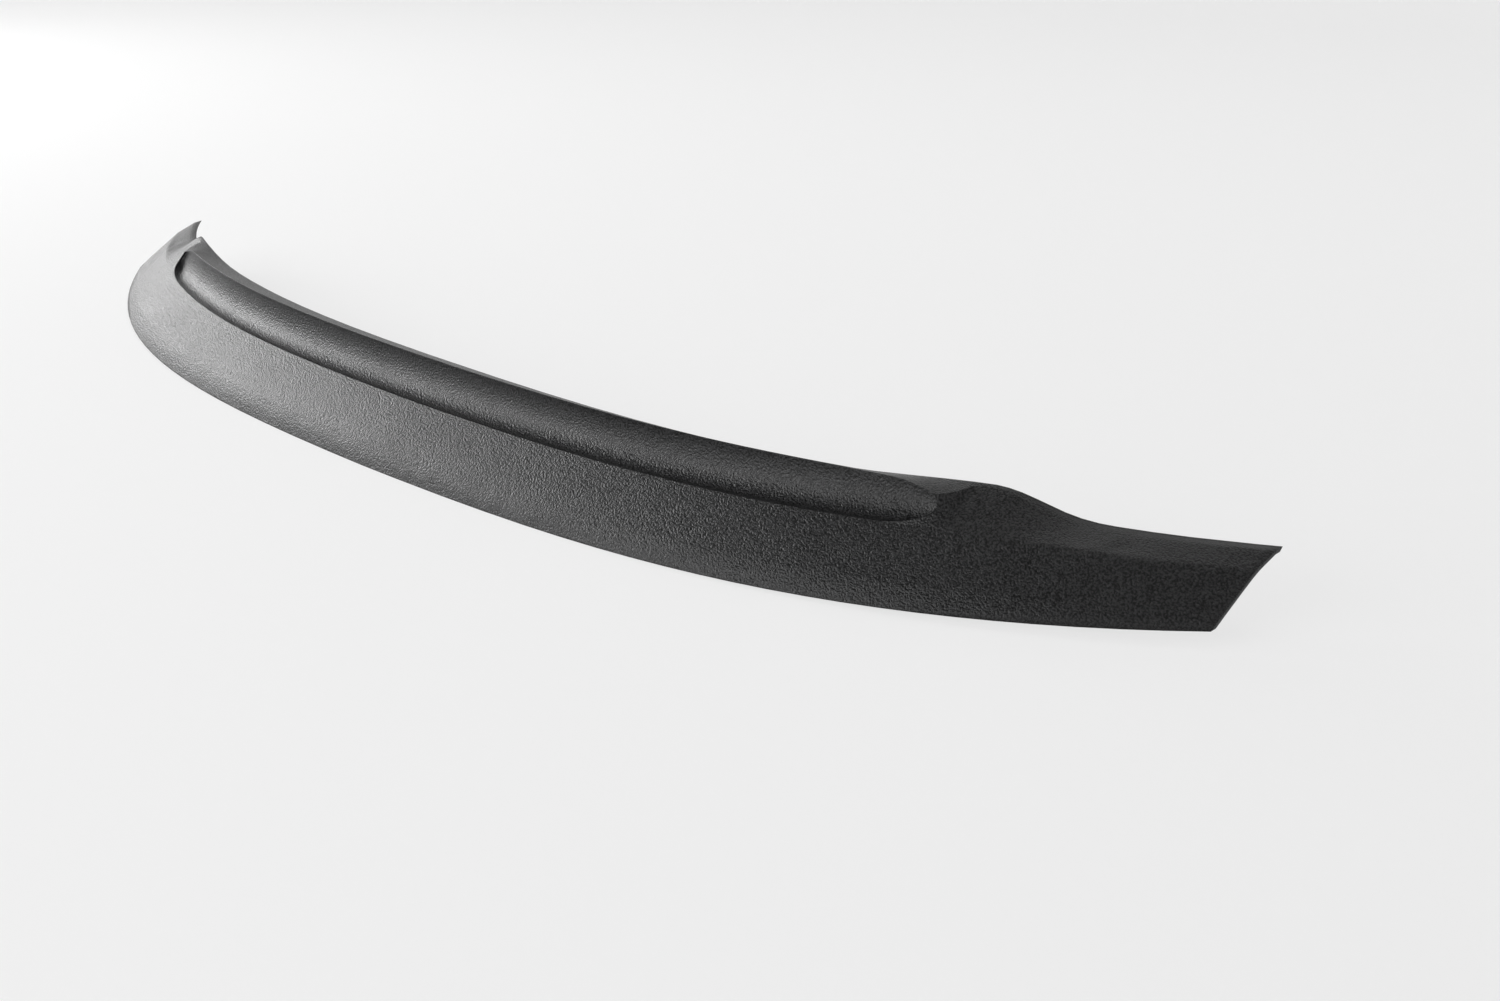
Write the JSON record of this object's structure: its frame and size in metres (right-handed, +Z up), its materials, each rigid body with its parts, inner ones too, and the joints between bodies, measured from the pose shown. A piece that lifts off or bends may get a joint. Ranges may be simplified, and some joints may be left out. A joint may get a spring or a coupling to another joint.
{
  "type": "hood bug deflector",
  "caption": "Wraparound hood deflector moulded in matte black plastic: a bowed front face, a long scoop channel below a raised lip, and low flat wings, with foam tape behind.",
  "frame": {"origin": "centre of the footprint, on the level of the lowest edge", "axes": "+X to the right as seen from the front, -Y forward, +Z up"},
  "size_m": [1.72, 0.336, 0.0966],
  "materials": {
    "shell": "matte",
    "foam": "matte"
  },
  "bodies": {
    "root": {"deflector_shell": "shell", "tape_lower_centre": "foam", "tape_lower_right": "foam", "tape_lower_left": "foam", "tape_rear_centre": "foam"}
  },
  "joints": []
}
